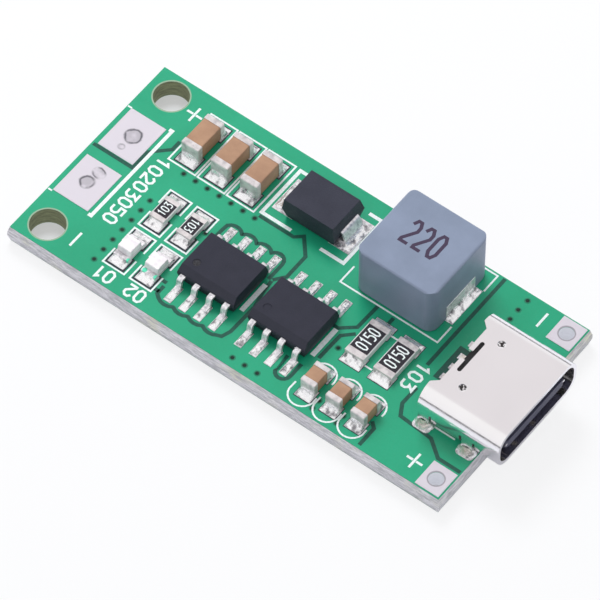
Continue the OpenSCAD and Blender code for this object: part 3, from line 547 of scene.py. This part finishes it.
for text, centre, right in (
    ("10203050", (5.02, 7.65), TOWARDS_NEAR),
    ("+", (4.2, 15.2), TOWARDS_NEAR),
    ("-", (4.25, 1.9), TOWARDS_NEAR),
    ("+", (33.5, 1.5), TOWARDS_FAR),
    ("-", (33.55, 15.9), TOWARDS_FAR),
    ("01", (7.6, 0.8), TOWARDS_BATTERY),
    ("02", (10.25, 0.8), TOWARDS_BATTERY),
    ("103", (29.5, 6.95), TOWARDS_NEAR),
):
    grown = SIGN_GROWTH if text in "+-" else 1.0
    height, width = LABEL_HEIGHT * grown, LABEL_WIDTH * grown * grown
    labels += figures(text, centre, right, height, width, LABEL_PITCH)
straight_lines("print_figures", ink, width=0.18, height=PRINT_T, paths=labels)


# Pads for the wires: copper islands left free of mask and tinned, two flat ones for the battery
# and two with plated holes for the charging input. The battery pads have marks of test probes.
PROBE_MARKS = ((2.0, 11.15, 0.66), (1.87, 9.95, 0.2), (2.07, 7.24, 0.45), (1.84, 6.15, 0.54))
pad_tin, wire = new_material("tinned_pads")
cloud = noise(wire, 1.1, 5.0)
grain = noise(wire, 10.0)
marks_and_lip_shade = 0.0
for x, y, radius in PROBE_MARKS:
    off = distance(wire, x, y) + cloud * 0.5 - 0.25
    ring = off.above(radius - 0.1, 0.07) * (1.0 - off.above(radius + 0.04, 0.06))
    marks_and_lip_shade = marks_and_lip_shade + ring * 0.75 + (1.0 - off.above(radius, 0.08)) * 0.36
marks_and_lip_shade = marks_and_lip_shade * cloud.above(0.42, 0.16)
# Round the wire holes the tin is darkened in a ring: painted shade at the holes' edges, added to the
# probe marks.
lip_shade = near_any(wire, WIRE_HOLES, WIRE_HOLE_R + 0.09, HOLE_SOFT) * 0.6
marks_and_lip_shade = marks_and_lip_shade + lip_shade
finish(
    wire,
    height=grain * 0.3 + cloud - marks_and_lip_shade,
    depth=0.02,
    Base_Color=marks_and_lip_shade.mix(srgb(222, 217, 226), srgb(116, 114, 122)),
    Metallic=0.5,
    Roughness=marks_and_lip_shade * 0.1 + 0.36,
)
dress(pad_tin, "battery_pads", "input_pads")


# Lands for the parts: copper left free of mask and tinned like the pads. Solder paste wetted
# them when the parts were soldered on, and so they are bright and uneven.
wet_tin, wire = new_material("wetted_lands")
lumps = noise(wire, 3.4, 4.0)
grain = noise(wire, 13.0, 2.0)
finish(
    wire,
    height=lumps + grain * 0.2,
    depth=0.06,
    Base_Color=lumps.above(0.45, 0.2).mix(srgb(170, 168, 174), srgb(250, 246, 250)),
    Metallic=0.75,
    Roughness=grain * 0.2 + 0.2,
)
dress(wet_tin, "component_lands")


# Chips: eight-lead bodies of black epoxy moulded round the leads, with a mould line at the leads,
# a bevel along the first row and a shallow mark by the first lead. The leads are tinned.
MERGE_REACH, FLAT_ANGLE, SHARP_ANGLE = 0.0002, math.radians(0.5), math.radians(28.0)
FIRST_LEAD_MARK, MARK_R = (12.675, 4.59), 0.27


def refine(node, material, bevel=0.0, segments=2):
    """A copy of a CAD node with merged corners, smooth curves and softened edges."""
    bm = bmesh.new()
    bm.from_mesh(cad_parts[node].data)
    bmesh.ops.remove_doubles(bm, verts=bm.verts[:], dist=MERGE_REACH * MM)
    bmesh.ops.dissolve_limit(bm, angle_limit=FLAT_ANGLE, verts=bm.verts[:], edges=bm.edges[:])
    for face in bm.faces:
        face.smooth = True
    for edge in bm.edges:
        edge.smooth = len(edge.link_faces) != 2 or edge.calc_face_angle(0.0) < SHARP_ANGLE
    piece = new_object(node + "_finished", bm, material)
    if bevel:
        edges = piece.modifiers.new("edges", "BEVEL")
        edges.width = bevel * MM
        edges.segments = segments
        edges.limit_method = "ANGLE"
        edges.angle_limit = SHARP_ANGLE
        edges.harden_normals = True
    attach(piece, "root")
    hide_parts(node)


epoxy, wire = new_material("chip_epoxy")
grain = noise(wire, 16.0, 4.0)
cloud = noise(wire, 1.2)
mark = near_any(wire, (FIRST_LEAD_MARK,), MARK_R, 0.05)
moulded = cloud.mix(srgb(28, 30, 44), srgb(40, 41, 56))
finish(
    wire,
    height=grain,
    depth=0.015,
    Base_Color=mark.mix(moulded, grain.above(0.5, 0.2).mix(srgb(12, 12, 16), srgb(60, 60, 66))),
    Roughness=grain * 0.25 + 0.42,
)
lead_tin, wire = new_material("tinned_leads")
streak = noise(wire, 4.0, 4.0)
finish(
    wire,
    height=streak,
    depth=0.05,
    Base_Color=streak.above(0.45, 0.2).mix(srgb(196, 194, 200), srgb(252, 250, 252)),
    Metallic=0.7,
    Roughness=streak * 0.2 + 0.22,
)
for chip in ("charger_chip", "power_chip"):
    refine(chip + "_body", epoxy, bevel=0.04)
    refine(chip + "_leads", lead_tin)


# Diode: a block of moulded epoxy, a little duller than the chips and well rounded, on two tinned
# tabs. The tabs come out at its ends and are folded down to the board.
DIODE_CENTRE = (16.55, 13.7)
diode_epoxy, wire = new_material("diode_epoxy")
grain = noise(wire, 13.0, 4.0)
cloud = noise(wire, 0.9)
finish(
    wire,
    height=grain,
    depth=0.03,
    Base_Color=cloud.mix(srgb(36, 38, 52), srgb(54, 56, 70)),
    Roughness=grain * 0.3 + 0.42,
)
refine("diode_body", diode_epoxy, bevel=0.14, segments=3)
refine("diode_tabs", lead_tin)


# Inductor: iron powder pressed round its coil, sealed with a grey coat and marked with a plain
# figure. Two tinned plates climb its ends.
INDUCTOR_CENTRE, INDUCTOR_TOP = (25.05, 13.6), 4.5
iron_coat, wire = new_material("inductor_coat")
grain = noise(wire, 10.0, 5.0)
cloud = noise(wire, 0.45, 4.0)
finish(
    wire,
    height=grain,
    depth=0.012,
    Base_Color=cloud.above(0.5, 0.3).mix(srgb(124, 136, 158), srgb(136, 148, 172)),
    Roughness=grain * 0.2 + 0.3,
)
refine("inductor_core", iron_coat)
refine("inductor_terminals", lead_tin, bevel=0.03)
mark_ink, wire = new_material("inductor_mark")
grain = noise(wire, 8.0)
finish(
    wire,
    height=grain,
    depth=0.01,
    Base_Color=grain.mix(srgb(52, 40, 64), srgb(72, 58, 82)),
    Roughness=grain * 0.2 + 0.4,
)
STAMP_T, STAMP_SINK = 0.004, 0.001
stamp = figures(
    "220", (INDUCTOR_CENTRE[0], INDUCTOR_CENTRE[1] + 0.2), TOWARDS_SOCKET,
    height=2.0, width=0.62, pitch=1.05, z=INDUCTOR_TOP - STAMP_SINK
)
straight_lines("inductor_figure", mark_ink, 0.26, STAMP_T, stamp)


# Capacitors: three large ones by the far edge and three small ones by the near edge. Each is a
# stack of ceramic layers fired brown, with tin over silver baked on both ends.
ceramic, wire = new_material("capacitor_ceramic")
grain = noise(wire, 12.0, 4.0)
cloud = noise(wire, 0.8, 4.0)
finish(
    wire,
    height=grain,
    depth=0.02,
    Base_Color=cloud.above(0.5, 0.3).mix(srgb(162, 126, 102), srgb(184, 146, 118)),
    Roughness=grain * 0.2 + 0.42,
)
end_tin, wire = new_material("baked_tin_ends")
cloud = noise(wire, 2.0, 4.0)
grain = noise(wire, 9.0, 4.0)
finish(
    wire,
    height=grain * 0.5 + cloud,
    depth=0.06,
    Base_Color=cloud.above(0.45, 0.2).mix(srgb(196, 190, 192), srgb(238, 232, 232)),
    Metallic=0.6,
    Roughness=grain * 0.2 + 0.34,
)
for row in ("large", "small"):
    for number in (1, 2, 3):
        refine("%s_capacitor_%d_body" % (row, number), ceramic)
        refine("%s_capacitor_%d_ends" % (row, number), end_tin, bevel=0.05)


# Resistors: white alumina slabs with a black glass coat over the film, printed with plain
# figures, and tinned metal ends.
alumina, wire = new_material("alumina")
grain = noise(wire, 12.0)
finish(
    wire,
    height=grain,
    depth=0.01,
    Base_Color=grain.mix(srgb(214, 214, 216), srgb(232, 232, 234)),
    Roughness=grain * 0.2 + 0.4,
)
black_glass, wire = new_material("black_coat")
grain = noise(wire, 9.0)
finish(
    wire,
    height=grain,
    depth=0.01,
    Base_Color=grain.mix(srgb(26, 22, 32), srgb(40, 36, 46)),
    Roughness=grain * 0.2 + 0.26,
)
for row in ("small", "sense"):
    for number in (1, 2):
        dress(alumina, "%s_resistor_%d_body" % (row, number))
        dress(black_glass, "%s_resistor_%d_coat" % (row, number))
        dress(end_tin, "%s_resistor_%d_ends" % (row, number))
SMALL_FIGURE = {"height": 0.6, "width": 0.26, "pitch": 0.38, "z": 0.55}
SENSE_FIGURE = {"height": 0.9, "width": 0.3, "pitch": 0.47, "z": 0.65}
small_figures = []
for place, right in zip(SMALL_RESISTORS, (TOWARDS_FAR, TOWARDS_NEAR)):
    small_figures += figures("103", place, right, **SMALL_FIGURE)
straight_lines("small_resistor_figures", ink, 0.085, STAMP_T, small_figures)
sense_figures = []
for place in SENSE_RESISTORS:
    sense_figures += figures("0150", place, TOWARDS_FAR, **SENSE_FIGURE)
straight_lines("sense_resistor_figures", ink, 0.11, STAMP_T, sense_figures)


# Status lights: a white base with metal ends, and a milky lens moulded over the lamp's chip. Small
# green glints are painted on the metal ends at the corners of their near ends: painted highlights.
LIGHT_CORNERS, CORNER_R = ((8.38, 2.52), (9.72, 2.58), (10.72, 2.56)), 0.19
lens, wire = new_material("milky_lens")
cloud = noise(wire, 2.6, 5.0)
grain = noise(wire, 9.0)
finish(
    wire,
    height=cloud + grain * 0.4,
    depth=0.08,
    Base_Color=cloud.above(0.45, 0.2).mix(srgb(232, 226, 232), srgb(253, 250, 253)),
    Roughness=cloud * 0.3 + 0.2,
    Coat_Weight=0.3,
)
light_tin, wire = new_material("light_ends")
lumps = noise(wire, 2.6)
# Painted highlights: small green glints at the corners of the lights' near ends.
painted_green_glints = near_any(wire, LIGHT_CORNERS, CORNER_R, 0.05)
bright = lumps.above(0.45, 0.2).mix(srgb(186, 182, 186), srgb(252, 248, 252))
finish(
    wire,
    height=lumps,
    depth=0.06,
    Base_Color=painted_green_glints.mix(bright, srgb(96, 232, 190)),
    Metallic=painted_green_glints * -0.6 + 0.6,
    Roughness=lumps * 0.3 + 0.2,
)
for number in (1, 2):
    dress(alumina, "status_light_%d_base" % number)
    refine("status_light_%d_lens" % number, lens, bevel=0.07, segments=3)
    dress(light_tin, "status_light_%d_ends" % number)


# Charging socket: a shell drawn from steel sheet and nickel plated, a black nylon moulding with
# the tongue, plated contacts, and a steel plate inside the tongue.
DIMPLES, DIMPLE_R = ((33.77, 6.4), (33.77, 10.8)), 0.26
TONGUE_TIP = 0.9
nickel, wire = new_material("nickel_shell")
satin = noise(wire, 14.0, stretch=(0.3, 1.0, 1.0))
cloud = noise(wire, 0.3)
# Painted reflection: in the two dimples the metal is painted dark in crumpled spots.
dents = near_any(wire, DIMPLES, DIMPLE_R, 0.06)
crumple = noise(wire, 4.6, 1.0)
metal = cloud.mix(srgb(246, 243, 244), srgb(254, 251, 252))
finish(
    wire,
    height=satin * 0.02 + dents * crumple,
    depth=0.12,
    Base_Color=(dents * crumple.above(0.5, 0.03)).mix(metal, srgb(70, 66, 66)),
    Metallic=1.0,
    Roughness=satin * 0.08 + 0.12,
)
nylon, wire = new_material("black_nylon")
grain = noise(wire, 10.0)
# Painted light: the tongue's tip, where it shows in the socket's mouth, is painted lighter and
# bluish.
painted_lit_tip = position(wire, "X").above(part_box("socket_moulding")[1][0] / MM - TONGUE_TIP, 0.05)
finish(
    wire,
    height=grain,
    depth=0.02,
    Base_Color=(painted_lit_tip * (grain * 0.2 + 0.8)).mix(srgb(16, 16, 20), srgb(70, 70, 92)),
    Roughness=grain * 0.2 + 0.4,
)
plating, wire = new_material("contact_plating")
grain = noise(wire, 6.0)
finish(
    wire,
    height=grain,
    depth=0.03,
    Base_Color=grain.mix(srgb(222, 214, 206), srgb(244, 238, 232)),
    Metallic=0.9,
    Roughness=grain * 0.2 + 0.2,
)
refine("socket_shell", nickel, bevel=0.05, segments=3)
dress(nylon, "socket_moulding")
dress(plating, "socket_contacts")
dress(nickel, "socket_mid_plate")


# Solder: tin alloy that ran between each land and the metal of the part, bright and lumpy, with
# round mounds where the socket's legs stand in their slots.
SOLDER_FOOT = 0.03
SOCKET_LEGS = [(x, y) for x in (32.22, 35.84) for y in (4.28, 12.92)]
FLUX_R, FLUX_SOFT = 0.5, 0.2
RUN_SEGMENTS, RIPPLE, END_REACH, END_TUCK = 10, 0.02, 0.62, 0.03
solder, wire = new_material("bright_solder")
lumps = noise(wire, 2.0, 2.0)
grain = noise(wire, 9.0, 2.0)
legs = near_any(wire, SOCKET_LEGS, FLUX_R, FLUX_SOFT)
bright = lumps.above(0.4, 0.12).mix(srgb(140, 138, 142), srgb(253, 252, 253))
finish(
    wire,
    height=lumps + grain * 0.15,
    depth=0.1,
    Base_Color=(legs * lumps).mix(bright, srgb(176, 152, 112)),
    Metallic=0.75,
    Roughness=grain * 0.2 + 0.14,
)


def solder_piece(node, bm):
    """The solder of one CAD node, smooth and in the node's place."""
    for face in bm.faces:
        face.smooth = True
    piece = new_object(node + "_finished", bm, solder)
    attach(piece, "root")
    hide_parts(node)


def lump(bm, start, outward, length, width, climb, body=0.08):
    """A run of solder on a land: high at the part's end, thin and round at the land's edge."""
    out = Vector(outward + (0.0,))
    side = Vector((-out.y, out.x, 0.0))
    seed = start[0] * 3.7 + start[1] * 2.3
    grid = bmesh.ops.create_grid(bm, x_segments=RUN_SEGMENTS, y_segments=RUN_SEGMENTS, size=1.0)
    for vert in grid["verts"]:
        u = math.sin((vert.co.x + 1) * math.pi / 4)
        v = math.sin(vert.co.y * math.pi / 2)
        ripple = RIPPLE * (math.sin(8 * u + 3 * v + seed) + math.sin(6 * v - 5 * u + 2 * seed))
        height = climb * (1 - u) ** 2.4 * (1 - 0.35 * v * v) + body + ripple
        height *= (1 - u ** 8) * (1 - v ** 8)
        foot = on_board(*start, SOLDER_FOOT + height)
        vert.co = foot + (out * u * length + side * v * width / 2) * MM


def runs_at_ends(bm, places, part_length, width, climb):
    """Solder at both ends of parts that lie along Y."""
    for x, y in places:
        for way in (-1, 1):
            end = y + way * (part_length / 2 - END_TUCK)
            lump(bm, (x, end), (0, way), END_REACH, width, climb)


bm = bmesh.new()
runs_at_ends(bm, LARGE_CAPACITORS, part_length=3.05, width=1.56, climb=0.6)
runs_at_ends(bm, SMALL_CAPACITORS, part_length=1.9, width=1.26, climb=0.5)
solder_piece("capacitor_solder", bm)
bm = bmesh.new()
runs_at_ends(bm, SMALL_RESISTORS, part_length=2.0, width=1.28, climb=0.3)
runs_at_ends(bm, SENSE_RESISTORS, part_length=3.15, width=1.64, climb=0.36)
solder_piece("resistor_solder", bm)
bm = bmesh.new()
runs_at_ends(bm, STATUS_LIGHTS, part_length=2.0, width=1.3, climb=0.18)
solder_piece("status_light_solder", bm)
UNDER_LEAD, LEAD_FOOT_RUN = 2.35, {"length": 1.42, "width": 0.56, "climb": 0.0, "body": 0.07}
LEAD_TOE, LEAD_TOE_RUN = 2.96, {"length": 0.8, "width": 0.5, "climb": 0.14, "body": 0.07}
bm = bmesh.new()
for x, y in CHIP_CENTRES:
    for step in LEAD_STEPS:
        for way in (-1, 1):
            lead = x + LEAD_PITCH * step
            lump(bm, (lead, y + way * UNDER_LEAD), (0, way), **LEAD_FOOT_RUN)
            lump(bm, (lead, y + way * LEAD_TOE), (0, way), **LEAD_TOE_RUN)
solder_piece("chip_solder", bm)
for node, (x, y), reach, length, width, climb in (
    ("diode_solder", DIODE_CENTRE, 2.64, 0.62, 2.6, 0.3),
    ("inductor_solder", INDUCTOR_CENTRE, 3.3, 0.58, 3.4, 0.5),
):
    bm = bmesh.new()
    for way in (-1, 1):
        lump(bm, (x + way * reach, y), (way, 0), length, width, climb)
    solder_piece(node, bm)

MOUND_RINGS, MOUND_SECTORS = 7, 28
MOUND_CLIMB, MOUND_BODY = 0.55, 0.1
LEG_HALF_X, LEG_HALF_Y, SPREAD_X, SPREAD_Y = 0.35, 0.2, 0.4, 0.36


def mound(bm, x, y):
    """Solder round a leg in its slot: a grid bent round the leg and merged where it meets."""
    grid = bmesh.ops.create_grid(bm, x_segments=MOUND_RINGS, y_segments=MOUND_SECTORS, size=1.0)
    for vert in grid["verts"]:
        r = min((vert.co.x + 1) / 2, 1.0)
        a = (vert.co.y + 1) * math.pi
        height = MOUND_CLIMB * (1 - r) ** 1.5 + MOUND_BODY * (1 - r ** 6)
        wave = 1 + 0.05 * math.sin(3 * a + x)
        dx = (LEG_HALF_X + SPREAD_X * r) * math.cos(a) * wave
        dy = (LEG_HALF_Y + SPREAD_Y * r) * math.sin(a) * wave
        vert.co = on_board(x + dx, y + dy, SOLDER_FOOT + height)
    bmesh.ops.remove_doubles(bm, verts=grid["verts"], dist=MERGE_REACH * MM)


bm = bmesh.new()
for x, y in SOCKET_LEGS:
    mound(bm, x, y)
solder_piece("socket_solder", bm)
